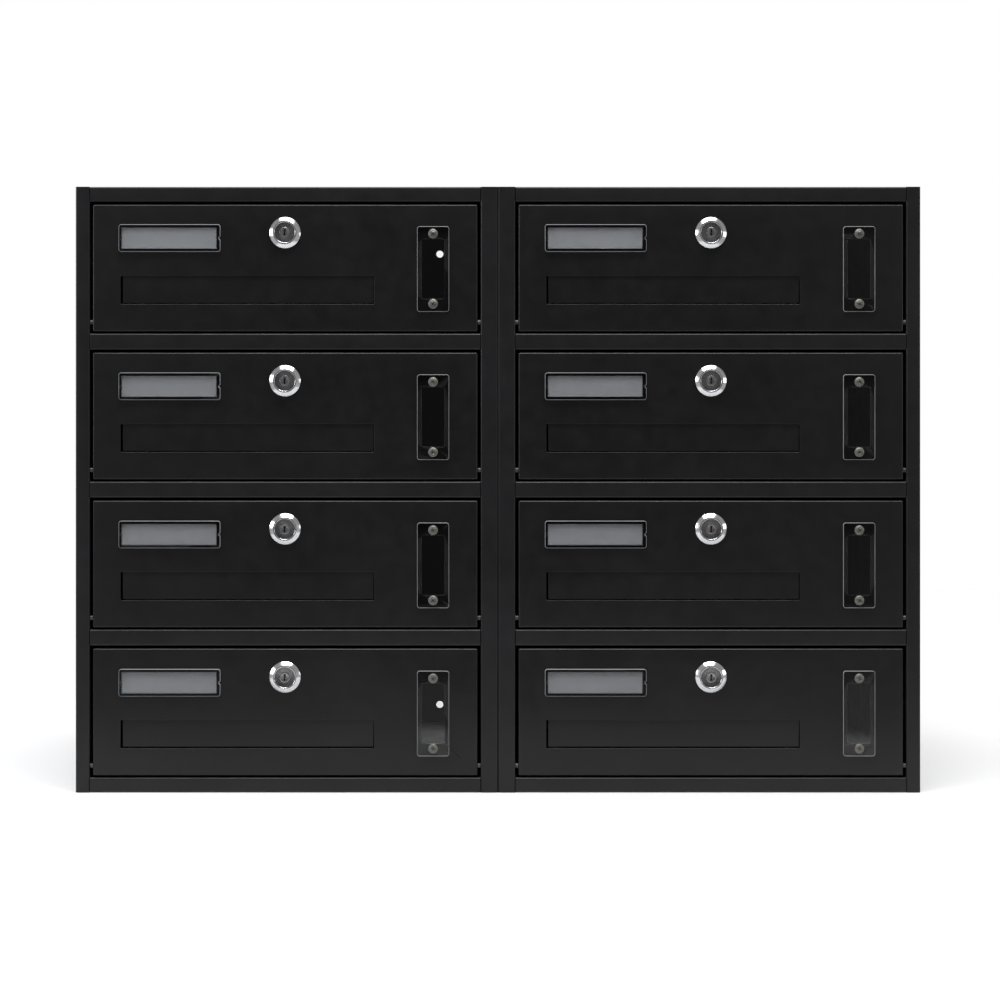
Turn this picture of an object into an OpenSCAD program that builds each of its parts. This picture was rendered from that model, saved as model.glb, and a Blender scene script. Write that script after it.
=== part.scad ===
// Cluster mailbox unit: two sheet-metal columns bolted side by side, four
// bottom-hinged doors in each. Millimetres, +Z up, +Y towards the wall.
// The origin is the centre of the footprint, on the underside.

/* [Cabinet] */
// Width of one column
column_w = 401; // [395:1:420]
// Depth of the folded cabinet, front strips to wall
cabinet_d = 350; // [300:5:400]
// Thickness of the cabinet sheet
wall_t = 1.2; // [1:0.1:1.3]
// Visible width of the two outer front strips
outer_strip_w = 13.5; // [13:0.5:17]
// Visible width of the two front strips beside the middle seam
inner_strip_w = 16.5; // [13:0.5:18]
// Height of the top and bottom rails
end_rail_h = 14.2; // [12:0.1:16]
// Height of the rails between compartments
shelf_rail_h = 15.5; // [14:0.5:20]
// Clear height of one door opening
opening_h = 125; // [122:1:140]
// How far the strips and rails turn back into the cabinet
return_d = 20; // [19:0.5:20.2]

/* [Doors] */
// Thickness of the door sheet
door_t = 1; // [0.8:0.1:1.2]
// Depth of the folded door tray
door_d = 20; // [18:0.5:20]
// Gap at each side of a door
door_side_gap = 2.75; // [2:0.25:3]
// Gap above a door
door_top_gap = 2.5; // [2:0.25:3]
// Gap below a door
door_bottom_gap = 1.7; // [1.5:0.1:2]
// Hinge pin axis above the bottom edge of the door
hinge_up = 9; // [8.5:0.1:9.5]
// Hinge pin axis behind the face of the door
hinge_back = 4.2; // [4.1:0.1:4.5]
// Radius of the hinge pins
hinge_pin_r = 2.4; // [2:0.1:2.5]

/* [Mail slot] */
// Width of the slot
slot_w = 240.5; // [230:0.5:244]
// Height of the slot
slot_h = 26.6; // [24:0.2:28]
// Slot to the left edge of the door
slot_left = 26.6; // [24:0.2:30]
// Slot to the bottom edge of the door
slot_up = 26.2; // [25:0.2:28]
// Gap at the left end of the flap
flap_left_gap = 1.9; // [1:0.1:2.5]
// Gap at the right end of the flap and below it
flap_gap = 0.6; // [0.5:0.1:1]

/* [Lock, window and name plate] */
// Lock centre below the top edge of the door
lock_down = 27; // [26:0.2:29]
// Radius of the lock bezel
bezel_r = 15; // [14:0.5:16]
// How far the bezel stands out of the door
lock_proud = 4; // [4:0.5:5]
// Window pane width
pane_w = 30.4; // [29:0.2:32]
// Window pane height
pane_h = 81; // [79:1:83]
// Window pane to the left edge of the door
pane_left = 308; // [305:1:312]
// Window pane to the top edge of the door
pane_down = 21; // [19:1:22]
// Name plate width
plate_w = 96.4; // [94:0.2:98]
// Name plate height
plate_h = 26; // [25:0.5:27]
// Name plate to the left edge of the door
plate_left = 25.2; // [22:0.2:27]
// Name plate to the top edge of the door
plate_down = 19.2; // [18:0.1:21]

/* [Wall fixing] */
// Hole spacing across one column
fixing_w = 268; // [250:1:280]
// Distance of the holes from the top and from the bottom
fixing_inset = 30; // [28:1:32]
// Radius of the wall fixing holes
fixing_r = 4; // [3:0.5:4.5]

/* [Hidden] */
$fn = 48;
SIDES = ["left", "right"];
ROWS = [1, 2, 3, 4];
DOOR_PARTS = ["door_panel", "mail_flap", "lock_case", "lock_plug", "window", "name_plate"];
CABINET_PARTS = ["cabinet", "top_panel", "bottom_panel", "shelves", "hinge_pins"];

paint = [0.10, 0.10, 0.105];
door_paint = [0.13, 0.13, 0.135];
flap_paint = [0.12, 0.12, 0.125];
chrome = [0.80, 0.80, 0.82];
zinc = [0.62, 0.62, 0.64];
clear = [0.75, 0.78, 0.80, 0.45];

rows = len(ROWS);
cabinet_h = rows * opening_h + (rows - 1) * shelf_rail_h + 2 * end_rail_h;
pitch = opening_h + shelf_rail_h;
front_y = -(cabinet_d + lock_proud) / 2 + lock_proud;
back_y = front_y + cabinet_d;
bend_r = 1.2;          // bend radius on the middle of the sheet
weld_gap = 0.1;        // sheet to sheet where panels are spot-welded
butt_gap = 0.2;        // rail ends to the returns of the strips
flange_h = 12;         // welding flanges of shelves and panels
hem_h = 8;             // stiffening hem behind each rail
relief = 3;            // corner relief where two flanges meet
opening_w = column_w - outer_strip_w - inner_strip_w;
inside_w = column_w - 2 * wall_t;
notch_y = front_y + return_d + 0.6;

door_w = opening_w - 2 * door_side_gap;
door_h = opening_h - door_bottom_gap - door_top_gap;
door_bend_r = 2;       // outside radius round the face of the door
door_lip_h = 8;        // lips behind the top and bottom returns
run_gap = 0.05;        // radial clearance of everything that turns
seat_gap = 0.03;       // keeps pieces that clamp together separate solids

slot_x = -door_w / 2 + slot_left + slot_w / 2;
flap_face = door_t + 0.3;
flap_t = 1;
flap_pin_r = 1.2;
flap_axis_y = flap_face + flap_pin_r;
flap_axis_z = slot_up + slot_h + 4;
flap_w = slot_w - flap_left_gap - flap_gap;
flap_x = (flap_left_gap - flap_gap) / 2;
flap_bend_r = 0.8;
flap_bottom = slot_up + flap_gap;
flap_flange = 12;      // the flap's bottom edge is folded inwards
ear_t = 1.5;
ear_x = slot_w / 2 + 2;

barrel_r = 9;
barrel_flat = 8;
cam_front = door_d + 2;
barrel_len = cam_front - 0.5;
plug_r = 5;
lock_z = door_h - lock_down;
cam_t = 2;
cam_len = 36;
cam_r = 7;

pane_t = 2;
pane_x = -door_w / 2 + pane_left + pane_w / 2;
pane_z = door_h - pane_down - pane_h / 2;
cut_w = 21.3;
cut_h = 56.3;
cut_z = door_h - 33.3 - cut_h / 2;
screw_spacing = 66.5;
screw_z = door_h - 28.1 - screw_spacing / 2;
screw_r = 1.95;
screw_head_r = 4.6;

plate_t = 2.6;
plate_x = -door_w / 2 + plate_left + plate_w / 2;
plate_z = door_h - plate_down - plate_h / 2;
card_w = 89.5;
card_h = 19.7;
peg_r = 1.1;
peg_x = plate_w / 2 - 1.6;

bolt_r = 3;
bolt_inset = 60;       // joining bolts from the front and from the back

function outward(side) = side == "left" ? -1 : 1;
function column_x(side) = outward(side) * column_w / 2;
function opening_shift(side) = outward(side) * (inner_strip_w - outer_strip_w) / 2;
function opening_x(side) = column_x(side) + opening_shift(side);
function floor_z(row) = end_rail_h + (rows - row) * pitch;

// ---- shared shapes ----

// A strip of sheet in 2D along a centre line with right-angled bends.
module folded(path, t, r) {
    last = len(path) - 1;
    for (i = [0:last - 1]) {
        run = path[i + 1] - path[i];
        way = run / norm(run);
        from = path[i] + (i > 0 ? r : 0) * way;
        to = path[i + 1] - (i < last - 1 ? r : 0) * way;
        half = abs(way[0]) > 0.5 ? [0, t / 2] : [t / 2, 0];
        low = [min(from[0], to[0]), min(from[1], to[1])] - half;
        high = [max(from[0], to[0]), max(from[1], to[1])] + half;
        translate(low) square(high - low);
        if (i > 0) bend(path[i], (path[i] - path[i - 1]) / norm(path[i] - path[i - 1]), way, t, r);
    }
}

// A quarter ring that joins two runs of sheet at a corner.
module bend(corner, way_in, way_out, t, r) {
    reach = r + t;
    centre = corner + r * (way_out - way_in);
    outer = centre + reach * (way_in - way_out);
    low = [min(centre[0], outer[0]), min(centre[1], outer[1])];
    intersection() {
        translate(centre) difference() {
            circle(r + t / 2);
            circle(r - t / 2);
        }
        translate(low) square(reach);
    }
}

// A rectangle with round corners, centred.
module rounded(w, h, r) {
    square([w - 2 * r, h], center = true);
    square([w, h - 2 * r], center = true);
    for (x = [-1, 1], y = [-1, 1]) translate([x * (w / 2 - r), y * (h / 2 - r)]) circle(r);
}

// Extrudes a (y, z) outline along X, centred on x = 0.
module along_x(length) {
    rotate([90, 0, 90]) linear_extrude(length, center = true) children();
}

// Extrudes an (x, z) outline backwards from y = 0.
module along_y(length) {
    translate([0, length, 0]) rotate([90, 0, 0]) linear_extrude(length) children();
}

// Turns a part made along +Z so that it runs along +Y.
module facing_back() {
    rotate([-90, 0, 0]) children();
}

// A block with its back open edges square and its front edges and corners rounded.
module soft_front_block(w, h, d, r, corner_r) {
    intersection() {
        translate([0, 0, h / 2]) along_y(d) rounded(w, h, corner_r);
        along_x(w) translate([d, h / 2]) rounded(2 * d, h, r);
        linear_extrude(h) translate([0, d]) rounded(w, 2 * d, r);
    }
}

// A hexagon nut or bolt head along +Z, across_flats wide.
module hexagon(across_flats, h) {
    cylinder(r = across_flats / sqrt(3), h = h, $fn = 6);
}

// ---- cabinet ----

// Side walls, back and front strips of one column, folded from one sheet.
module cabinet(side) {
    wall = (column_w - wall_t) / 2;
    shift = opening_shift(side);
    strip = (opening_w + wall_t) / 2;
    face = front_y + wall_t / 2;
    turned = front_y + return_d;
    back = back_y - wall_t / 2;
    outline = [
        [shift - strip, turned], [shift - strip, face], [-wall, face], [-wall, back],
        [wall, back], [wall, face], [shift + strip, face], [shift + strip, turned]
    ];
    color(paint) translate([column_x(side), 0, 0]) difference() {
        linear_extrude(cabinet_h) folded(outline, wall_t, bend_r);
        return_ends();
        for (row = ROWS, x = [-1, 1])
            translate([shift + x * strip, front_y + hinge_back, door_z(row) + hinge_up])
                rotate([0, 90, 0]) cylinder(r = hinge_pin_r + 0.02, h = 2 * wall_t, center = true);
        for (x = [-1, 1], z = [fixing_inset, cabinet_h - fixing_inset])
            translate([x * fixing_w / 2, back_y - 2 * wall_t, z])
                facing_back() cylinder(r = fixing_r, h = 3 * wall_t);
        for (place = bolt_places())
            translate([-outward(side) * wall, place[0], place[1]])
                rotate([0, 90, 0]) cylinder(r = bolt_r + 0.3, h = 3 * wall_t, center = true);
    }
}

// The returns stop short so that the top and bottom sheets cover them.
module return_ends() {
    cut = wall_t + 0.2;
    slack = 0.4;
    for (x = [-1, 1], z = [0, cabinet_h - cut])
        translate([x * (column_w / 2 - wall_t - slack), front_y + wall_t + slack, z])
            mirror([x > 0 ? 1 : 0, 0, 0]) cube([inner_strip_w, return_d, cut]);
}

function door_z(row) = floor_z(row) + door_bottom_gap;
function bolt_places() = [
    for (y = [front_y + bolt_inset, back_y - bolt_inset], row = [1, rows]) [y, floor_z(row) + opening_h / 2]
];

// A flat sheet with welding flanges and a railed front edge; its top is z = 0.
module railed_sheet(side, rail_h, flat_front) {
    sheet_w = inside_w - 2 * weld_gap;
    back = back_y - wall_t - weld_gap - wall_t / 2;
    flange_end = back - wall_t / 2 - relief;
    middle = -wall_t / 2;
    hem_y = front_y + return_d - wall_t / 2;
    rail = [
        [flat_front + 1, middle], [front_y + wall_t / 2, middle],
        [front_y + wall_t / 2, wall_t / 2 - rail_h], [hem_y, wall_t / 2 - rail_h],
        [hem_y, hem_h - rail_h]
    ];
    edge = (sheet_w - wall_t) / 2;
    translate([opening_shift(side), 0, 0]) along_x(opening_w - 2 * butt_gap) folded(rail, wall_t, bend_r);
    translate([0, notch_y, 0]) along_y(flange_end - notch_y)
        folded([[-edge, -flange_h], [-edge, middle], [edge, middle], [edge, -flange_h]], wall_t, bend_r);
    if (flat_front < notch_y)
        translate([-sheet_w / 2, flat_front, -wall_t]) cube([sheet_w, notch_y - flat_front, wall_t]);
    along_x(sheet_w - 2 * relief)
        folded([[flange_end - 1, middle], [back, middle], [back, -flange_h]], wall_t, bend_r);
}

// The roof of one column.
module top_panel(side) {
    color(paint) translate([column_x(side), 0, cabinet_h])
        railed_sheet(side, end_rail_h, front_y + wall_t + 1.2);
}

// The floor of one column: the roof's part turned over.
module bottom_panel(side) {
    color(paint) translate([column_x(side), 0, 0]) mirror([0, 0, 1])
        railed_sheet(side, end_rail_h, front_y + wall_t + 1.2);
}

// The three shelves of one column. Each is the floor of rows 1 to 3.
module shelves(side) {
    color(paint) for (row = [1:rows - 1])
        translate([column_x(side), 0, floor_z(row)]) railed_sheet(side, shelf_rail_h, notch_y);
}

// Headed pins pushed through the strip returns into the doors.
module hinge_pins(side) {
    head_r = hinge_back - wall_t - 0.1;
    head_h = 1.5;
    taper = 0.6;
    into_door = door_side_gap + door_t + 1.5;
    color(zinc) for (row = ROWS, x = [-1, 1])
        translate([opening_x(side) + x * opening_w / 2, front_y + hinge_back, door_z(row) + hinge_up])
            rotate([0, x * 90, 0]) {
                translate([0, 0, -into_door]) cylinder(r = hinge_pin_r, h = into_door + wall_t);
                translate([0, 0, wall_t]) cylinder(r1 = head_r - taper, r2 = head_r, h = taper);
                translate([0, 0, wall_t + taper]) cylinder(r = head_r, h = head_h - taper);
            }
}

// Bolts, washers and nuts that hold the two columns together.
module column_bolts() {
    washer_t = 1.6;
    head_h = 4;
    nut_h = 5;
    grip = wall_t + washer_t;
    color(zinc) for (place = bolt_places()) translate([0, place[0], place[1]]) rotate([0, 90, 0]) {
        translate([0, 0, -grip - head_h]) hexagon(10, head_h - seat_gap);
        translate([0, 0, -grip - seat_gap]) cylinder(r = bolt_r, h = 2 * grip + nut_h + 1);
        for (z = [-grip, wall_t]) translate([0, 0, z]) difference() {
            cylinder(r = 6, h = washer_t);
            cylinder(r = bolt_r + 0.2, h = 3 * washer_t, center = true);
        }
        translate([0, 0, grip + seat_gap]) difference() {
            hexagon(10, nut_h);
            cylinder(r = bolt_r + 0.03, h = 3 * nut_h, center = true);
        }
    }
}

// ---- one door; x = 0 on its centre line, y = 0 on its face, z = 0 on its bottom edge ----

module at_door(side, row) {
    translate([opening_x(side), front_y, door_z(row)]) children();
}

// The folded tray with its slot, window, lock hole, hinge bores and flap ears.
module door_panel() {
    inner_r = door_bend_r - door_t;
    color(door_paint) difference() {
        union() {
            difference() {
                soft_front_block(door_w, door_h, door_d, door_bend_r, door_bend_r);
                translate([0, door_t, door_t])
                    soft_front_block(door_w - 2 * door_t, door_h - 2 * door_t, door_d, inner_r, inner_r);
            }
            for (z = [door_t / 2, door_h - door_t / 2 - door_lip_h])
                translate([-door_w / 2 + 4, door_d - door_t, z]) cube([door_w - 8, door_t, door_lip_h]);
            for (x = [-ear_x - ear_t, ear_x])
                translate([slot_x + x, door_t / 2, flap_axis_z - 4]) cube([ear_t, 6, 8]);
        }
        translate([slot_x, -1, slot_up + slot_h / 2]) along_y(door_t + 1.2) rounded(slot_w, slot_h, 0.8);
        translate([pane_x, -1, cut_z]) along_y(2 * door_t + 1) rounded(cut_w, cut_h, 1);
        for (z = [-1, 1])
            translate([pane_x, -1, screw_z + z * screw_spacing / 2]) facing_back() cylinder(r = 2.15, h = 4);
        translate([0, -1, lock_z]) facing_back() intersection() {
            cylinder(r = barrel_r + 0.2, h = 4);
            translate([0, 0, 2]) cube([2 * barrel_flat + 0.4, 3 * barrel_r, 4], center = true);
        }
        for (x = [-1, 1])
            translate([plate_x + x * peg_x, -1, plate_z]) facing_back() cylinder(r = peg_r + 0.1, h = 4);
        for (x = [-1, 1])
            translate([x * door_w / 2, hinge_back, hinge_up])
                rotate([0, 90, 0]) cylinder(r = hinge_pin_r + run_gap, h = 4, center = true);
        translate([slot_x, flap_axis_y, flap_axis_z])
            rotate([0, 90, 0]) cylinder(r = flap_pin_r + run_gap, h = 2 * ear_x + 4 * ear_t, center = true);
    }
}

// The flap hangs behind the slot from a wire rolled into its top edge.
module mail_flap() {
    middle = flap_face + flap_t / 2;
    foot = flap_bottom + flap_t / 2;
    outline = [[middle, flap_axis_z], [middle, foot], [flap_face + flap_flange, foot]];
    color(flap_paint) translate([slot_x, 0, 0]) {
        translate([flap_x, 0, 0]) intersection() {
            along_x(flap_w) folded(outline, flap_t, flap_bend_r);
            translate([0, 0, flap_bottom + slot_h]) along_y(2 * flap_flange) rounded(flap_w, 2 * slot_h, 1.2);
        }
        translate([0, flap_axis_y, flap_axis_z]) rotate([0, 90, 0])
            cylinder(r = flap_pin_r, h = 2 * (ear_x + ear_t) + 1, center = true);
    }
}

// The bezel and barrel of the cam lock, and the nut that clamps it.
module lock_case() {
    bore = plug_r + run_gap;
    face = -lock_proud + 0.8;
    profile = [
        [bore, face], [9.8, face], [10.3, -lock_proud], [11.2, -lock_proud], [bezel_r, -0.9],
        [bezel_r, 0], [barrel_r, 0], [barrel_r, barrel_len], [bore, barrel_len]
    ];
    nut_h = 3.5;
    color(chrome) translate([0, 0, lock_z]) facing_back() {
        difference() {
            rotate_extrude() polygon(profile);
            for (x = [-1, 1]) translate([x * (barrel_flat + 5), 0, barrel_len / 2 + 0.5])
                cube([10, 3 * barrel_r, barrel_len + 1], center = true);
        }
        translate([0, 0, door_t]) difference() {
            hexagon(24, nut_h);
            cylinder(r = barrel_r + 0.05, h = 3 * nut_h, center = true);
        }
    }
}

// The key plug, its cam and the cam screw. The cam points sideways when unlocked.
module lock_plug() {
    face = -lock_proud + 0.6;
    tail = 6;
    color(zinc) translate([0, 0, lock_z]) facing_back() {
        difference() {
            union() {
                translate([0, 0, face]) cylinder(r = plug_r, h = cam_front - 0.3 - face);
                translate([-tail / 2, -tail / 2, cam_front - 1]) cube([tail, tail, cam_t + 0.9]);
            }
            translate([-0.9, -3.5, face - 1]) cube([1.8, 7, 13]);
            translate([0, 0, cam_front - 6]) cylinder(r = 2, h = 10);
        }
        translate([0, 0, cam_front]) linear_extrude(cam_t) difference() {
            union() {
                circle(cam_r + 1);
                translate([cam_r - cam_len, 0]) circle(cam_r);
                translate([cam_r - cam_len, -cam_r]) square([cam_len - cam_r, 2 * cam_r]);
            }
            square(tail + 0.1, center = true);
        }
        translate([0, 0, cam_front - 5]) cylinder(r = 1.97, h = 6 + cam_t);
        translate([0, 0, cam_front + cam_t + seat_gap]) cylinder(r = 4.2, h = 1.9);
    }
}

// The clear pane over the window cut-out, with its two screws and their nuts.
module window() {
    color(clear) {
        translate([pane_x, -pane_t, 0]) difference() {
            translate([0, 0, pane_z]) along_y(pane_t) rounded(pane_w, pane_h, 2.5);
            for (z = [-1, 1]) translate([0, -1, screw_z + z * screw_spacing / 2])
                facing_back() cylinder(r = 2.15, h = pane_t + 2);
        }
        for (z = [-1, 1]) translate([pane_x, -pane_t, screw_z + z * screw_spacing / 2]) facing_back() {
            translate([0, 0, -seat_gap]) cross_screw();
            translate([0, 0, pane_t + door_t]) difference() {
                hexagon(7, 3);
                cylinder(r = screw_r + 0.03, h = 10, center = true);
            }
        }
    }
}

// A pan-head screw with a cross recess, its head below z = 0.
module cross_screw() {
    head_h = 1.9;
    dome_r = 6.7;
    difference() {
        intersection() {
            translate([0, 0, -head_h]) cylinder(r = screw_head_r, h = head_h);
            translate([0, 0, dome_r - head_h]) sphere(dome_r);
        }
        for (a = [0, 90]) rotate(a) translate([0, 0, -head_h]) cube([4.6, 1, 2.4], center = true);
    }
    cylinder(r = screw_r, h = pane_t + door_t + 5);
}

// The clear name plate cover with its pegs, and the card behind it.
module name_plate() {
    pocket_d = plate_t - 1;
    color(clear) translate([plate_x, 0, plate_z]) {
        difference() {
            translate([0, -plate_t, 0]) along_y(plate_t) rounded(plate_w, plate_h, 2.5);
            translate([-0.5, -pocket_d, 0]) along_y(pocket_d + 1) rounded(card_w + 0.9, card_h + 0.7, 0.6);
            translate([plate_w / 2 + 0.3, -plate_t - 1, 0]) facing_back() cylinder(r = 1.5, h = plate_t + 2);
        }
        for (x = [-1, 1]) translate([x * peg_x, 0, 0]) facing_back() cylinder(r = peg_r, h = door_t + 2);
        translate([-0.5, -0.4, 0]) along_y(0.4) square([card_w, card_h], center = true);
    }
}

for (side = SIDES) {
    cabinet(side);
    top_panel(side);
    bottom_panel(side);
    shelves(side);
    hinge_pins(side);
}
column_bolts();
for (side = SIDES, row = ROWS) {
    at_door(side, row) door_panel();
    at_door(side, row) mail_flap();
    at_door(side, row) lock_case();
    at_door(side, row) lock_plug();
    at_door(side, row) window();
    at_door(side, row) name_plate();
}
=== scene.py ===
"""Looks of the cluster mailbox unit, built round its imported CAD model.

Sizes are in millimetres where a name is in capitals, and in metres once they
are multiplied by MM. A door's own frame has x = 0 on its centre line, y = 0 on
its face, z = 0 on its bottom edge and +Y into the cabinet.
"""

import math

import bmesh
import bpy
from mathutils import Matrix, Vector
from mathutils.geometry import tessellate_polygon


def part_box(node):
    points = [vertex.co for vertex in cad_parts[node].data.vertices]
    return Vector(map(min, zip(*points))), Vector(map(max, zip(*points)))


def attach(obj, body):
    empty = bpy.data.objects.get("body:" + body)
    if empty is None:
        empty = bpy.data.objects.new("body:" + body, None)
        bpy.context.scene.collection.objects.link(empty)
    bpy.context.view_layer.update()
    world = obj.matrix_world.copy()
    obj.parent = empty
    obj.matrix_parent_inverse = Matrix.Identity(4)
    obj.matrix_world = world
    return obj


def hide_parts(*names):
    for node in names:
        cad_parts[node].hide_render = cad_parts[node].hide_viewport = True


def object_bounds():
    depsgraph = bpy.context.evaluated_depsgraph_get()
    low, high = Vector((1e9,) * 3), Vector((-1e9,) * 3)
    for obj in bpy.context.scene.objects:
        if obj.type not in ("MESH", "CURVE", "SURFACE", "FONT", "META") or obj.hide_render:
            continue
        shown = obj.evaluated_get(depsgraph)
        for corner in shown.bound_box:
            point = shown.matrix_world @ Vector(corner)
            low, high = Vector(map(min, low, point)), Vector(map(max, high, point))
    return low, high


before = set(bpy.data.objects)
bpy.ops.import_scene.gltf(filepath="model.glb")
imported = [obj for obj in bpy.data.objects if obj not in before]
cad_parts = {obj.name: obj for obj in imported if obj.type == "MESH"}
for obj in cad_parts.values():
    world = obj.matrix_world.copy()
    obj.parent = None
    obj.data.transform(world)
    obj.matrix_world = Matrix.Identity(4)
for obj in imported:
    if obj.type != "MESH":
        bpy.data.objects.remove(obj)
cad_low, cad_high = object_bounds()

MM = 0.001
SIDES = ("left", "right")
ROWS = (1, 2, 3, 4)

# Cam lock
BEZEL_R = 15.0
BEZEL_PROUD = 4.0
FACE_SUNK = 0.8
PLUG_R = 5.0
PLUG_DISH = 0.75
KEYHOLE_DEPTH = 12.5
BARREL_R = 9.0
BARREL_FLAT = 8.0
THREAD_PITCH = 1.0
CAM_R = 7.0
CAM_HUB_R = 8.0
CAM_LEN = 36.0
CAM_T = 2.0
CAM_SQUARE = 6.1
CAM_SCREW_HEAD_R = 4.2
CAM_SCREW_HEAD_H = 1.9
NUT_FLATS = 24.0
NUT_T = 3.5
RUNNING_FIT = 0.05
SEAT_GAP = 0.03
DOOR_T = 1.0

# Window
PANE_W = 30.4
PANE_H = 81.0
PANE_T = 2.0
PANE_CORNER_R = 2.5
SCREW_SPACING = 66.5
SCREW_RISE = 0.15
SCREW_HEAD_R = 4.6
SCREW_HEAD_H = 1.9
SCREW_R = 1.95
SCREW_HOLE_R = 2.15
SCREW_NUT_FLATS = 7
SCREW_NUT_T = 3

# Name plate
PLATE_W = 96.4
PLATE_H = 26.0
PLATE_T = 2.6
PLATE_CORNER_R = 2.5
PEG_R = 1.1
PEG_X = 46.6
CARD_W = 89.5
CARD_H = 19.7
POCKET_SHIFT = -0.5
NOTCH_R = 1.5


# ---------------------------------------------------------------- materials


class Shader:
    """A node material that is being wired up, with coordinates in millimetres."""

    def __init__(self, name):
        self.material = bpy.data.materials.new(name)
        self.material.use_nodes = True
        self.tree = self.material.node_tree
        self.bsdf = self.tree.nodes["Principled BSDF"]
        place = self.node("ShaderNodeTexCoord")
        scale = self.node("ShaderNodeVectorMath", operation="SCALE")
        scale.inputs["Scale"].default_value = 1 / MM
        self.link(place.outputs["Object"], scale.inputs[0])
        self.millimetres = scale.outputs[0]

    def node(self, kind, **settings):
        made = self.tree.nodes.new(kind)
        for key, value in settings.items():
            setattr(made, key, value)
        return made

    def link(self, source, target):
        self.tree.links.new(source, target)

    def set(self, **values):
        """Uniform values, straight on the shader's own sockets."""
        for key, value in values.items():
            self.bsdf.inputs[key.replace("_", " ")].default_value = value

    def noise(self, size_mm, detail=2.0, stretch=None):
        """Noise from 0 to 1 with features of that size."""
        texture = self.node("ShaderNodeTexNoise")
        texture.inputs["Scale"].default_value = 1 / size_mm
        texture.inputs["Detail"].default_value = detail
        source = self.millimetres
        if stretch:
            mapping = self.node("ShaderNodeMapping")
            mapping.inputs["Scale"].default_value = stretch
            self.link(source, mapping.inputs["Vector"])
            source = mapping.outputs[0]
        self.link(source, texture.inputs["Vector"])
        return texture.outputs["Fac"]

    def spread(self, value, low, high, start=0.3, end=0.7):
        """Maps start..end of a value onto low..high."""
        ranged = self.node("ShaderNodeMapRange")
        for name, number in (("From Min", start), ("From Max", end), ("To Min", low), ("To Max", high)):
            ranged.inputs[name].default_value = number
        self.link(value, ranged.inputs["Value"])
        return ranged.outputs["Result"]

    def blend(self, factor, first, second):
        """A colour between two, by factor. Each is a colour or another node's output."""
        mix = self.node("ShaderNodeMix", data_type="RGBA")
        self.link(factor, mix.inputs["Factor"])
        for socket, colour in ((mix.inputs[6], first), (mix.inputs[7], second)):
            if isinstance(colour, tuple):
                socket.default_value = (*colour, 1)
            else:
                self.link(colour, socket)
        return mix.outputs[2]

    def bump(self, height, depth_mm, after=None):
        """Raises the surface by height, depth_mm at most."""
        bump = self.node("ShaderNodeBump")
        bump.inputs["Distance"].default_value = depth_mm * MM
        self.link(height, bump.inputs["Height"])
        if after:
            self.link(after, bump.inputs["Normal"])
        return bump.outputs["Normal"]

    def finish(self, colour=None, roughness=None, normal=None):
        for name, output in (("Base Color", colour), ("Roughness", roughness), ("Normal", normal)):
            if output:
                self.link(output, self.bsdf.inputs[name])
        return self.material


def powder_coat(name, dark, light, rough):
    """Satin black powder coat: cloudy tone, pale specks and a fine orange peel."""
    s = Shader(name)
    clouds = s.spread(s.noise(90, 3), 0, 1)
    specks = s.spread(s.noise(0.5, 1), 0, 1, 0.62, 0.8)
    toned = s.blend(clouds, dark, light)
    speckled = s.blend(specks, toned, tuple(1.6 * c for c in light))
    peel = s.bump(s.noise(1.3, 2), 0.012)
    grain = s.bump(s.noise(0.25, 1), 0.004, peel)
    s.set(Specular_IOR_Level=0.38, IOR=1.5)
    return s.finish(speckled, s.spread(s.noise(14, 3), rough - 0.04, rough + 0.05), grain)


def chrome():
    """Polished chrome with hairline scratches and a little haze."""
    s = Shader("polished_chrome")
    haze = s.noise(6, 3)
    scratches = s.noise(0.35, 2, (1, 0.08, 1))
    colour = s.blend(s.spread(haze, 0, 1), (0.66, 0.67, 0.69), (0.80, 0.80, 0.81))
    s.set(Metallic=1.0)
    return s.finish(colour, s.spread(haze, 0.12, 0.2), s.bump(scratches, 0.002))


def turned_nickel(name, dark, light, rough):
    """Satin nickel with concentric turning marks about the piece's own Y axis."""
    s = Shader(name)
    rings = s.node("ShaderNodeTexWave", wave_type="RINGS", rings_direction="Y")
    rings.inputs["Scale"].default_value = 1.1
    rings.inputs["Distortion"].default_value = 0.6
    s.link(s.millimetres, rings.inputs["Vector"])
    stains = s.spread(s.noise(3.5, 3), 0, 1)
    s.set(Metallic=1.0)
    return s.finish(
        s.blend(stains, dark, light),
        s.spread(s.noise(2, 2), rough - 0.05, rough + 0.07),
        s.bump(rings.outputs["Fac"], 0.012),
    )


def plated_steel(name, cool, warm, rough):
    """Zinc-plated steel: cool and warm patches and a fine matt grain."""
    s = Shader(name)
    patches = s.spread(s.noise(3, 3), 0, 1, 0.35, 0.65)
    s.set(Metallic=1.0)
    return s.finish(
        s.blend(patches, cool, warm),
        s.spread(s.noise(1.2, 2), rough - 0.06, rough + 0.08),
        s.bump(s.noise(0.3, 2), 0.006),
    )


def clear_plastic(name, tint, rough):
    """Clear acrylic with faint wipe marks. What lies behind it is lit through it."""
    s = Shader(name)
    wipes = s.noise(2.2, 3, (1, 1, 0.15))
    colour = s.blend(s.spread(wipes, 0, 1), tint, tuple(0.985 * c for c in tint))
    s.set(Transmission_Weight=1.0, IOR=1.49)
    s.finish(colour, s.spread(wipes, rough, rough + 0.03, 0.55, 0.8))
    passed = s.node("ShaderNodeBsdfTransparent")
    passed.inputs["Color"].default_value = (*tint, 1)
    mix = s.node("ShaderNodeMixShader")
    s.link(s.node("ShaderNodeLightPath").outputs["Is Shadow Ray"], mix.inputs[0])
    s.link(s.bsdf.outputs[0], mix.inputs[1])
    s.link(passed.outputs[0], mix.inputs[2])
    s.link(mix.outputs[0], s.tree.nodes["Material Output"].inputs["Surface"])
    return s.material


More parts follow.
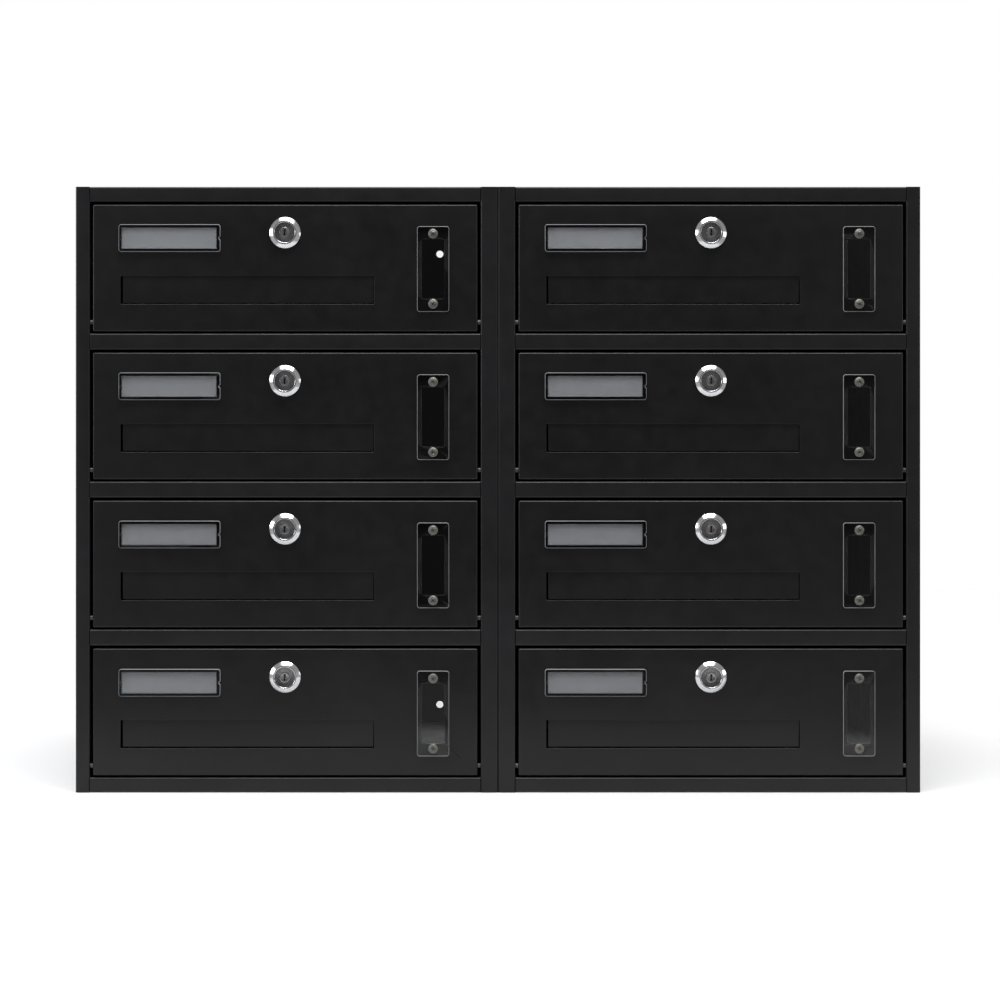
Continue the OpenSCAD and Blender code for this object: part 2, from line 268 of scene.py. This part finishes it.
def sawn_plastic(name, colour):
    """The dull cut edge of a clear sheet, which gathers light."""
    s = Shader(name)
    marks = s.noise(0.4, 2)
    shade = s.blend(s.spread(marks, 0, 1), colour, tuple(0.8 * c for c in colour))
    s.set(Transmission_Weight=0.25, IOR=1.49)
    return s.finish(shade, s.spread(marks, 0.4, 0.6), s.bump(marks, 0.01))


def card_paper():
    """Uncoated card with faint fibres, coloured mid grey: the grey is painted shade on a pale card."""
    s = Shader("card_grey_painted_shade")
    fibres = s.noise(0.45, 4, (0.35, 1, 1))
    mottle = s.noise(9, 2)
    # These mid-grey tones are painted shade, darker than the pale card itself.
    soft = s.blend(s.spread(mottle, 0, 1), (0.235, 0.24, 0.25), (0.255, 0.26, 0.265))
    colour = s.blend(s.spread(fibres, 0, 0.5), soft, (0.30, 0.30, 0.305))
    s.set(Specular_IOR_Level=0.25)
    return s.finish(colour, s.spread(fibres, 0.8, 0.95), s.bump(fibres, 0.01))


def stage_floor():
    """Pale matt floor that thins out with distance, so that it has no far edge."""
    s = Shader("pale_floor")
    place = s.node("ShaderNodeTexCoord")
    length = s.node("ShaderNodeVectorMath", operation="LENGTH")
    s.link(place.outputs["Object"], length.inputs[0])
    fade = s.node("ShaderNodeMapRange", interpolation_type="SMOOTHSTEP")
    for name, number in (("From Min", 0.48), ("From Max", 0.60), ("To Min", 0.7), ("To Max", 0.12)):
        fade.inputs[name].default_value = number
    s.link(length.outputs["Value"], fade.inputs["Value"])
    s.link(fade.outputs["Result"], s.bsdf.inputs["Alpha"])
    s.set(Specular_IOR_Level=0.1)
    grain = s.noise(2, 3)
    colour = s.blend(s.spread(grain, 0, 1), (0.86, 0.86, 0.87), (0.89, 0.89, 0.90))
    return s.finish(colour, s.spread(grain, 0.7, 0.85))


# A lighter copy of the doors' black powder coat. The extra lightness is painted light, standing in for
# stray light that brightens the frame.
CABINET_PAINT_LIT_COPY = powder_coat(
    "black_powder_coat_cabinet_painted_lighter", (0.0085, 0.008, 0.009), (0.0125, 0.012, 0.0135), 0.36
)
DOOR_PAINT = powder_coat("black_powder_coat_door", (0.006, 0.0055, 0.006), (0.009, 0.0082, 0.009), 0.33)
FLAP_PAINT = powder_coat("black_powder_coat_flap", (0.006, 0.0055, 0.006), (0.009, 0.0082, 0.009), 0.33)
CHROME = chrome()
LOCK_FACE = turned_nickel("satin_nickel_face", (0.15, 0.155, 0.175), (0.25, 0.235, 0.22), 0.26)
PLUG_METAL = turned_nickel("satin_nickel_plug", (0.26, 0.26, 0.27), (0.38, 0.37, 0.36), 0.28)
BARREL_METAL = plated_steel("zinc_barrel", (0.50, 0.50, 0.52), (0.58, 0.56, 0.52), 0.32)
ZINC = plated_steel("zinc_plate", (0.56, 0.57, 0.60), (0.62, 0.60, 0.54), 0.34)
SCREW_METAL = plated_steel("dull_screw", (0.16, 0.16, 0.148), (0.22, 0.215, 0.195), 0.56)
PIN_METAL = plated_steel("hinge_pin_steel", (0.09, 0.09, 0.09), (0.12, 0.115, 0.105), 0.5)
PANE = clear_plastic("clear_pane", (0.97, 0.98, 0.98), 0.015)
PANE_EDGE = sawn_plastic("pane_edge", (0.34, 0.35, 0.34))
COVER = clear_plastic("clear_cover", (0.96, 0.97, 0.98), 0.03)
COVER_EDGE = sawn_plastic("cover_edge", (0.30, 0.31, 0.33))
CARD = card_paper()


# ------------------------------------------------------------- mesh helpers


def make_piece(name, bm, body, replaced, materials):
    """Turns a bmesh into a piece that rides on a body and stands for a CAD node."""
    bmesh.ops.remove_doubles(bm, verts=bm.verts, dist=1e-7)
    bmesh.ops.recalc_face_normals(bm, faces=bm.faces)
    mesh = bpy.data.meshes.new(name)
    bm.to_mesh(mesh)
    bm.free()
    for material in materials:
        mesh.materials.append(material)
    mesh.shade_smooth()
    mesh.set_sharp_from_angle(angle=math.radians(32))
    return place_piece(name, mesh, body, replaced)


def place_piece(name, mesh, body, replaced):
    piece = bpy.data.objects.new(name, mesh)
    bpy.context.scene.collection.objects.link(piece)
    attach(piece, body)
    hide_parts(replaced)
    return piece


def ring(bm, y, radius_at, steps):
    """A loop of points about +Y at depth y; radius_at gives the radius at an angle. All in mm."""
    points = []
    for i in range(steps):
        angle = 2 * math.pi * i / steps
        r = radius_at(angle)
        points.append(bm.verts.new((r * math.cos(angle) * MM, y * MM, r * math.sin(angle) * MM)))
    return points


def skin(bm, first, second, material=0):
    """Quads between two loops of the same length."""
    faces = []
    for i, point in enumerate(first):
        j = (i + 1) % len(first)
        face = bm.faces.new((point, first[j], second[j], second[i]))
        face.material_index = material
        faces.append(face)
    return faces


def cap(bm, loop, material=0):
    face = bm.faces.new(loop)
    face.material_index = material
    return face


def lathe(bm, profile, steps=64, closed=True, materials=None):
    """Turns (radius, y) points about +Y. A radius may be a number or a function of the angle."""
    loops = []
    for radius, y in profile:
        loops.append(ring(bm, y, radius if callable(radius) else (lambda _, r=radius: r), steps))
    pairs = list(zip(loops, loops[1:] + loops[:1])) if closed else list(zip(loops, loops[1:]))
    for i, (a, b) in enumerate(pairs):
        skin(bm, a, b, materials[i] if materials else 0)
    if not closed:
        cap(bm, loops[0], materials[0] if materials else 0)
        cap(bm, loops[-1], materials[-1] if materials else 0)


def hexagon_radius(flats):
    """Radius of a hexagon, flats wide, as a function of the angle."""

    def radius(angle):
        turn = (angle + math.pi / 6) % (math.pi / 3) - math.pi / 6
        return flats / 2 / math.cos(turn)

    return radius


def least(first, second):
    return lambda angle: min(first(angle), second)


def hexagon_nut(bm, flats, y0, y1, bore):
    """A hexagon nut about +Y with its corners turned off at both faces and a countersunk bore."""
    hexagon = hexagon_radius(flats)
    corner = flats / math.sqrt(3)
    face_r = flats * 0.475
    turned = least(hexagon, face_r)
    rounded = least(hexagon, corner * 0.97)
    drop = (corner - face_r) * 0.5
    sink = 0.4
    profile = [
        (bore, y0 + sink),
        (bore + sink, y0),
        (turned, y0),
        (rounded, y0 + drop * 0.55),
        (hexagon, y0 + drop),
        (hexagon, y1 - drop),
        (rounded, y1 - drop * 0.55),
        (turned, y1),
        (bore + sink, y1),
        (bore, y1 - sink),
    ]
    lathe(bm, profile, steps=96)


def thread_radius(radius, depth, pitch, y, flat=None):
    """Radius of a screw thread at depth y, as a function of the angle, cut to two flats if asked."""

    def at(angle):
        along = (y / pitch - angle / (2 * math.pi)) % 1
        rise = min(max((0.38 - abs(along - 0.5)) / 0.22, 0), 1)
        crest = radius - depth * (1 - rise)
        return min(crest, flat / max(abs(math.cos(angle)), 1e-6)) if flat else crest

    return at


def threaded(radius, depth, pitch, y0, y1, flat=None):
    """Profile points of a screw thread from y0 to y1."""
    count = round((y1 - y0) / pitch * 6)
    depths = [y0 + (y1 - y0) * i / count for i in range(count + 1)]
    return [(thread_radius(radius, depth, pitch, y, flat), y) for y in depths]


def cross_outline(arm, half, inner):
    """Corners of a cross with tapered arms."""
    points = []
    for turn in range(4):
        c, s = ((1, 0), (0, 1), (-1, 0), (0, -1))[turn]
        for x, z in ((arm, -half), (arm, half), (inner, inner)):
            points.append((x * c - z * s, x * s + z * c))
    return points


def cross_head(bm, radius, height, base_y, way, turn=0.0):
    """Domed screw head with a cross recess. way is -1 if it faces the front and 1 if it faces back."""
    dome_r = (radius**2 + height**2) / (2 * height) * 1.02

    def dome(r):
        return height - dome_r + math.sqrt(dome_r**2 - r**2)

    profile = [(radius - 0.25, 0.0), (radius, 0.12)]
    for part in (0.98, 0.92, 0.84, 0.74, 0.64):
        profile.append((radius * part, max(dome(radius * part), 0.16)))
    loops = [ring(bm, base_y + way * h, lambda _, r=r: r, 40) for r, h in profile]
    for a, b in zip(loops, loops[1:]):
        skin(bm, a, b)
    cap(bm, loops[0])
    mouth = turned_outline(cross_outline(radius * 0.5, 0.42, 0.62), turn)
    sunk = turned_outline(cross_outline(radius * 0.2, 0.2, 0.28), turn)
    lips = []
    for x, z in mouth:
        y = base_y + way * dome(math.hypot(x, z))
        lips.append(bm.verts.new((x * MM, y * MM, z * MM)))
    floor = loop_at(bm, sunk, base_y + way * (height - 1.3))
    fill(bm, loops[-1], [lips])
    skin(bm, lips, floor)
    cap(bm, floor)


def turned_outline(points, degrees):
    c, s = math.cos(math.radians(degrees)), math.sin(math.radians(degrees))
    return [(x * c - z * s, x * s + z * c) for x, z in points]


def rounded_outline(width, height, radius, steps=6):
    """Corner points of a centred rectangle with round corners, anticlockwise seen from -Y."""
    points = []
    for turn, (sx, sz) in enumerate(((1, 1), (-1, 1), (-1, -1), (1, -1))):
        cx, cz = sx * (width / 2 - radius), sz * (height / 2 - radius)
        for i in range(steps + 1):
            angle = math.radians(90 * (turn + i / steps))
            points.append((cx + radius * math.cos(angle), cz + radius * math.sin(angle)))
    return points


def circle_outline(x, z, radius, steps=32):
    return [
        (x + radius * math.cos(2 * math.pi * i / steps), z + radius * math.sin(2 * math.pi * i / steps))
        for i in range(steps)
    ]


def inset(points, amount):
    """Moves a convex outline in by amount, each point along its mitre."""
    count = len(points)
    moved = []
    for i, (x, z) in enumerate(points):
        ax, az = points[i - 1]
        bx, bz = points[(i + 1) % count]
        first = Vector((x - ax, z - az)).normalized()
        second = Vector((bx - x, bz - z)).normalized()
        n1, n2 = Vector((-first.y, first.x)), Vector((-second.y, second.x))
        mitre = (n1 + n2).normalized()
        reach = amount / max(mitre.dot(n1), 0.3)
        moved.append((x + mitre.x * reach, z + mitre.y * reach))
    return moved


def loop_at(bm, outline, y):
    return [bm.verts.new((x * MM, y * MM, z * MM)) for x, z in outline]


def fill(bm, outer, holes, material=0):
    """Triangles over a flat loop with holes in it."""
    loops = [outer, *holes]
    flat = [[Vector((v.co.x, v.co.z, 0)) for v in loop] for loop in loops]
    verts = [v for loop in loops for v in loop]
    for triangle in tessellate_polygon(flat):
        face = bm.faces.new([verts[i] for i in triangle])
        face.material_index = material


def slab(bm, outline, y0, y1, holes=(), chamfer=0.3, edge=0, face=0):
    """A flat plate from y0 (front) to y1 with chamfered outer edges and straight holes."""
    front = loop_at(bm, inset(outline, chamfer), y0)
    shoulder = loop_at(bm, outline, y0 + chamfer)
    heel = loop_at(bm, outline, y1 - chamfer)
    back = loop_at(bm, inset(outline, chamfer), y1)
    for a, b in ((front, shoulder), (shoulder, heel), (heel, back)):
        skin(bm, a, b, edge)
    front_holes = [loop_at(bm, hole, y0) for hole in holes]
    back_holes = [loop_at(bm, hole, y1) for hole in holes]
    for a, b in zip(front_holes, back_holes):
        skin(bm, a, b, edge)
    fill(bm, front, front_holes, face)
    fill(bm, back, back_holes, face)


# ------------------------------------------------------------------- pieces


def door_face(side, row):
    """Y of the door's face in the shared frame, in metres."""
    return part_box(f"{side}_door_panel_{row}")[0].y


def centre_of(node):
    low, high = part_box(node)
    return (low + high) / 2


def bezel_mesh(length):
    """Chrome bezel, sunk satin face and a threaded barrel with two flats. y = 0 on the door's face."""
    bm = bmesh.new()
    face_y = FACE_SUNK - BEZEL_PROUD
    bore = PLUG_R + RUNNING_FIT

    def flattened(radius):
        return lambda angle: min(radius, BARREL_FLAT / max(abs(math.cos(angle)), 1e-6))

    satin = [(bore, face_y + 0.5), (bore + 0.12, face_y + 0.12), (bore + 0.4, face_y)]
    satin += [(9.1, face_y), (9.45, face_y - 0.08)]
    polished = [(9.72, face_y - 0.35), (9.85, face_y - 0.62)]
    polished += [(10.05, 0.05 - BEZEL_PROUD), (10.35, -BEZEL_PROUD), (11.0, -BEZEL_PROUD)]
    polished += [(11.25, 0.06 - BEZEL_PROUD), (11.5, 0.24 - BEZEL_PROUD)]
    polished += [(BEZEL_R - 0.45, -1.42), (BEZEL_R - 0.15, -1.12)]
    polished += [(BEZEL_R, -0.75), (BEZEL_R, -0.12), (BEZEL_R - 0.1, -0.02)]
    barrel = [(flattened(BARREL_R), -0.02)]
    barrel += threaded(BARREL_R, 0.6, THREAD_PITCH, 0.3, length - 0.5, BARREL_FLAT)
    barrel += [(flattened(BARREL_R - 0.8), length), (bore, length)]
    finish_of = [1] * len(satin) + [0] * len(polished) + [2] * len(barrel)
    lathe(bm, satin + polished + barrel, steps=96, materials=finish_of)
    return bm


def plug_mesh(back):
    """Key plug with a dished face, a warded keyhole and the square tail that turns the cam."""
    bm = bmesh.new()
    dish_y = PLUG_DISH - BEZEL_PROUD
    profile = [
        (3.55, dish_y),
        (3.85, dish_y - 0.15),
        (4.55, dish_y - 0.15),
        (4.88, dish_y + 0.05),
        (PLUG_R, dish_y + 0.4),
        (PLUG_R, back),
        (PLUG_R - 0.3, back + 0.2),
    ]
    loops = [ring(bm, y, lambda _, r=r: r, 64) for r, y in profile]
    for a, b in zip(loops, loops[1:]):
        skin(bm, a, b)
    cap(bm, loops[-1])
    half = [(0.85, -1.5), (0.3, -1.1), (0.3, -0.2), (0.85, 0.2), (0.85, 3.1), (-0.5, 3.1)]
    keyhole = half + [(-x, -z) for x, z in half]
    mouth = loop_at(bm, keyhole, dish_y)
    throat = loop_at(bm, keyhole, dish_y + KEYHOLE_DEPTH)
    fill(bm, loops[0], [mouth])
    skin(bm, mouth, throat)
    cap(bm, throat)
    slab(bm, rounded_outline(6, 6, 0.4), back - 0.6, back + 2.2, chamfer=0.3)
    return bm


def cam_mesh(y0, y1):
    """Flat cam with a round end and a square hole, pointing to -X."""
    bm = bmesh.new()
    start = math.degrees(math.acos(-math.sqrt(CAM_HUB_R**2 - CAM_R**2) / CAM_HUB_R))
    hub = [math.radians(-start + 2 * start * i / 24) for i in range(25)]
    end = [math.radians(90 + 180 * i / 14) for i in range(15)]
    outline = [(CAM_HUB_R * math.cos(a), CAM_HUB_R * math.sin(a)) for a in hub]
    outline += [(CAM_R - CAM_LEN + CAM_R * math.cos(a), CAM_R * math.sin(a)) for a in end]
    slab(bm, outline, y0, y1, holes=[rounded_outline(CAM_SQUARE, CAM_SQUARE, 0.4)], chamfer=0.25)
    return bm


def build_lock(side, row):
    """Bezel with its barrel, nut, plug, cam and cam screw of one lock."""
    case, plug = f"{side}_lock_case_{row}", f"{side}_lock_plug_{row}"
    door_body, lock_body = f"{side}_door_{row}", f"{side}_lock_{row}"
    low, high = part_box(case)
    centre = Vector(((low.x + high.x) / 2, low.y + BEZEL_PROUD * MM, (low.z + high.z) / 2))
    barrel_end = (high.y - centre.y) / MM
    cam_front = barrel_end + 0.5
    nut = bmesh.new()
    hexagon_nut(nut, NUT_FLATS, DOOR_T + SEAT_GAP, DOOR_T + NUT_T, BARREL_R + RUNNING_FIT)
    screw = bmesh.new()
    cross_head(screw, CAM_SCREW_HEAD_R, CAM_SCREW_HEAD_H, cam_front + CAM_T + SEAT_GAP, 1, 17 * row)
    bezel = bezel_mesh(barrel_end)
    bezel_metals = (CHROME, LOCK_FACE, BARREL_METAL)
    parts = (
        ("lock_bezel", bezel, door_body, "lock_chrome", case, bezel_metals),
        ("lock_nut", nut, door_body, "zinc_steel", case, (ZINC,)),
        ("lock_key_plug", plug_mesh(cam_front - 0.3), lock_body, "lock_plug_metal", plug, (PLUG_METAL,)),
        ("lock_cam", cam_mesh(cam_front, cam_front + CAM_T), lock_body, "zinc_steel", plug, (ZINC,)),
        ("lock_cam_screw", screw, lock_body, "zinc_steel", plug, (ZINC,)),
    )
    for part, bm, body, slot, replaced, materials in parts:
        piece = make_piece(f"{side}_{part}_{row}", bm, body, replaced, materials)
        piece.matrix_world.translation = centre


def screw_mesh(turn):
    """Cross-recess screw for the window, its head against the pane at y = -PANE_T."""
    bm = bmesh.new()
    seat = -PANE_T - SEAT_GAP
    cross_head(bm, SCREW_HEAD_R, SCREW_HEAD_H, seat, -1, turn)
    shank = [(SCREW_R - 0.1, seat), *threaded(SCREW_R, 0.3, 0.7, -1.6, 5.6), (1.4, 6.0)]
    lathe(bm, shank, steps=24, closed=False)
    return bm


def pane_mesh():
    bm = bmesh.new()
    outline = rounded_outline(PANE_W, PANE_H, PANE_CORNER_R)
    holes = [circle_outline(0, SCREW_RISE + way * SCREW_SPACING / 2, SCREW_HOLE_R) for way in (-1, 1)]
    slab(bm, outline, -PANE_T, 0, holes, chamfer=0.45, edge=1, face=0)
    return bm


def build_window(side, row):
    """Clear pane with its two screws and nuts."""
    node, body = f"{side}_window_{row}", f"{side}_door_{row}"
    centre = centre_of(node)
    centre.y = door_face(side, row)
    plastics = (PANE, PANE_EDGE)
    pane = make_piece(f"{side}_window_pane_{row}", pane_mesh(), body, node, plastics)
    pane.matrix_world.translation = centre
    for index, (place, way) in enumerate((("upper", 1), ("lower", -1))):
        turn = 37 * row + 23 * index + 11 * SIDES.index(side)
        nut = bmesh.new()
        hexagon_nut(nut, SCREW_NUT_FLATS, DOOR_T, DOOR_T + SCREW_NUT_T, SCREW_R + SEAT_GAP)
        at = centre + Vector((0, 0, (SCREW_RISE + way * SCREW_SPACING / 2) * MM))
        for part, bm, metal in (("screw", screw_mesh(turn), SCREW_METAL), ("nut", nut, ZINC)):
            name = f"{side}_window_{place}_{part}_{row}"
            piece = make_piece(name, bm, body, node, (metal,))
            piece.matrix_world.translation = at


def cover_mesh():
    """Clear cover with a pocket behind for the card, a notch in its right edge and two pegs."""
    bm = bmesh.new()
    reach = NOTCH_R * 0.98
    outline = rounded_outline(PLATE_W, PLATE_H, PLATE_CORNER_R)
    turn = math.asin(reach / NOTCH_R)
    notch_x = PLATE_W / 2 + 0.3
    for i in range(9):
        angle = math.pi + turn - 2 * turn * i / 8
        outline.append((notch_x + NOTCH_R * math.cos(angle), NOTCH_R * math.sin(angle)))
    front = loop_at(bm, inset(outline, 0.55), -PLATE_T)
    shoulder = loop_at(bm, outline, -PLATE_T + 0.55)
    heel = loop_at(bm, outline, 0)
    pocket = rounded_outline(CARD_W + 0.9, CARD_H + 0.7, 0.6)
    pocket = [(x + POCKET_SHIFT, z) for x, z in pocket]
    brim = loop_at(bm, pocket, 0)
    ceiling = loop_at(bm, pocket, -PLATE_T + 1)
    skin(bm, front, shoulder, 1)
    skin(bm, shoulder, heel, 1)
    skin(bm, brim, ceiling, 1)
    fill(bm, front, [], 0)
    fill(bm, heel, [brim], 0)
    fill(bm, ceiling, [], 0)
    for way in (-1, 1):
        slab(bm, circle_outline(way * PEG_X, 0, PEG_R, 20), -0.2, 3, chamfer=0.15, edge=0, face=0)
    return bm


def build_name_plate(side, row):
    """Clear cover and the card behind it."""
    node, body = f"{side}_name_plate_{row}", f"{side}_door_{row}"
    centre = centre_of(node)
    centre.y = door_face(side, row)
    card = bmesh.new()
    outline = [(x + POCKET_SHIFT, z) for x, z in rounded_outline(CARD_W, CARD_H, 0.4, 2)]
    slab(card, outline, -0.4, 0, chamfer=0.08)
    for part, bm, slot, materials in (
        ("name_cover", cover_mesh(), "name_plate_cover", (COVER, COVER_EDGE)),
        ("name_card", card, "name_plate_cover", (CARD,)),
    ):
        piece = make_piece(f"{side}_{part}_{row}", bm, body, node, materials)
        piece.matrix_world.translation = centre


# ------------------------------------------------------- carried-over nodes


def dress(node, material, bevel_mm=0.25, segments=2, clamp=False):
    """Gives a CAD node its material and softens its sheet edges with a small bevel."""
    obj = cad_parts[node]
    mesh = obj.data
    custom = mesh.attributes.get("custom_normal")
    if custom:
        mesh.attributes.remove(custom)
    mesh.polygons.foreach_set("use_smooth", [True] * len(mesh.polygons))
    mesh.materials.clear()
    mesh.materials.append(material)
    weld = obj.modifiers.new("weld", "WELD")
    weld.merge_threshold = 2e-6
    flat = obj.modifiers.new("merge_flats", "DECIMATE")
    flat.decimate_type = "DISSOLVE"
    flat.angle_limit = math.radians(0.8)
    bevel = obj.modifiers.new("soft_edges", "BEVEL")
    bevel.width = bevel_mm * MM
    bevel.segments = segments
    bevel.limit_method = "ANGLE"
    bevel.angle_limit = math.radians(38)
    bevel.use_clamp_overlap = clamp
    bevel.harden_normals = True


for side in SIDES:
    for part in ("cabinet", "top_panel", "bottom_panel", "shelves"):
        dress(f"{side}_{part}", CABINET_PAINT_LIT_COPY, clamp=True)
    dress(f"{side}_hinge_pins", PIN_METAL, 0.2)
    for row in ROWS:
        dress(f"{side}_door_panel_{row}", DOOR_PAINT, 0.45, 3)
        dress(f"{side}_mail_flap_{row}", FLAP_PAINT)
        build_lock(side, row)
        build_window(side, row)
        build_name_plate(side, row)
dress("column_bolts", ZINC, 0.2)


# -------------------------------------------------------------------- stage


def add_camera():
    """Level camera in front of the unit, raised a little above its middle."""
    data = bpy.data.cameras.new("camera")
    data.sensor_width = 36
    data.lens = 64.5
    data.shift_x = 0.002
    data.shift_y = -0.0710
    camera = bpy.data.objects.new("camera", data)
    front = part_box("left_door_panel_1")[0].y
    camera.location = (0, front - 1.70, 0.345)
    camera.rotation_euler = (math.radians(90), 0, 0)
    bpy.context.scene.collection.objects.link(camera)
    bpy.context.scene.camera = camera


def add_floor():
    bm = bmesh.new()
    bmesh.ops.create_grid(bm, x_segments=8, y_segments=8, size=2.0)
    mesh = bpy.data.meshes.new("floor")
    bm.to_mesh(mesh)
    bm.free()
    mesh.materials.append(stage_floor())
    floor = bpy.data.objects.new("floor", mesh)
    floor.location.z = cad_low.z - 0.0002
    floor.scale = (1.6, 1, 1)
    bpy.context.scene.collection.objects.link(floor)


def add_area_light(name, place, target, size, radiance, colour):
    data = bpy.data.lights.new(name, "AREA")
    data.shape = "RECTANGLE"
    data.size, data.size_y = size
    data.energy = math.pi * size[0] * size[1] * radiance
    data.color = colour
    light = bpy.data.objects.new(name, data)
    light.location = place
    light.rotation_euler = (Vector(target) - Vector(place)).to_track_quat("-Z", "Y").to_euler()
    light.visible_camera = False
    bpy.context.scene.collection.objects.link(light)
    return light


def add_lights():
    """Soft light from overhead, from above the camera and from both sides, in a pale surround."""
    data = bpy.data.lights.new("overhead", "SUN")
    data.energy = 2.2
    data.angle = math.radians(50)
    sun = bpy.data.objects.new("overhead", data)
    bpy.context.scene.collection.objects.link(sun)
    middle = (0, -0.17, 0.29)
    add_area_light("front_softbox", (0, -0.75, 2.2), middle, (1.7, 0.5), 11, (1, 1, 1))
    add_area_light("left_softbox", (-2.2, -0.5, 0.75), middle, (0.8, 0.8), 7, (0.93, 0.96, 1.0))
    add_area_light("right_softbox", (2.2, -0.5, 0.5), middle, (0.6, 0.6), 3, (1.0, 0.98, 0.97))
    add_world()


def add_world():
    """White where it is looked at. As a light it is grey, and darker straight in front of the doors."""
    world = bpy.data.worlds.new("studio")
    bpy.context.scene.world = world
    world.use_nodes = True
    tree = world.node_tree
    tree.nodes.clear()

    def node(kind, **settings):
        made = tree.nodes.new(kind)
        for key, value in settings.items():
            setattr(made, key, value)
        return made

    def shade(strength):
        background = node("ShaderNodeBackground")
        background.inputs["Color"].default_value = (1, 1, 1, 1)
        background.inputs["Strength"].default_value = strength
        return background

    path = node("ShaderNodeLightPath")
    split = node("ShaderNodeSeparateXYZ")
    tree.links.new(node("ShaderNodeTexCoord").outputs["Generated"], split.inputs[0])
    ahead = node("ShaderNodeMapRange", interpolation_type="SMOOTHSTEP")
    for name, number in (("From Min", -0.995), ("From Max", -0.93), ("To Min", 0.0), ("To Max", 1.0)):
        ahead.inputs[name].default_value = number
    tree.links.new(split.outputs["Y"], ahead.inputs["Value"])
    behind = node("ShaderNodeMath", operation="GREATER_THAN")
    behind.inputs[1].default_value = 0.0
    tree.links.new(split.outputs["Y"], behind.inputs[0])
    through = node("ShaderNodeMath", operation="MULTIPLY")
    tree.links.new(path.outputs["Is Transmission Ray"], through.inputs[0])
    tree.links.new(behind.outputs[0], through.inputs[1])
    looked_at = node("ShaderNodeMath", operation="MAXIMUM")
    tree.links.new(path.outputs["Is Camera Ray"], looked_at.inputs[0])
    tree.links.new(through.outputs[0], looked_at.inputs[1])
    light = node("ShaderNodeMixShader")
    tree.links.new(ahead.outputs["Result"], light.inputs[0])
    tree.links.new(shade(0.06).outputs[0], light.inputs[1])
    tree.links.new(shade(0.32).outputs[0], light.inputs[2])
    both = node("ShaderNodeMixShader")
    tree.links.new(looked_at.outputs[0], both.inputs[0])
    tree.links.new(light.outputs[0], both.inputs[1])
    tree.links.new(shade(1.0).outputs[0], both.inputs[2])
    output = node("ShaderNodeOutputWorld")
    tree.links.new(both.outputs[0], output.inputs["Surface"])


add_camera()
add_floor()
add_lights()
bpy.context.scene.view_settings.view_transform = "Standard"
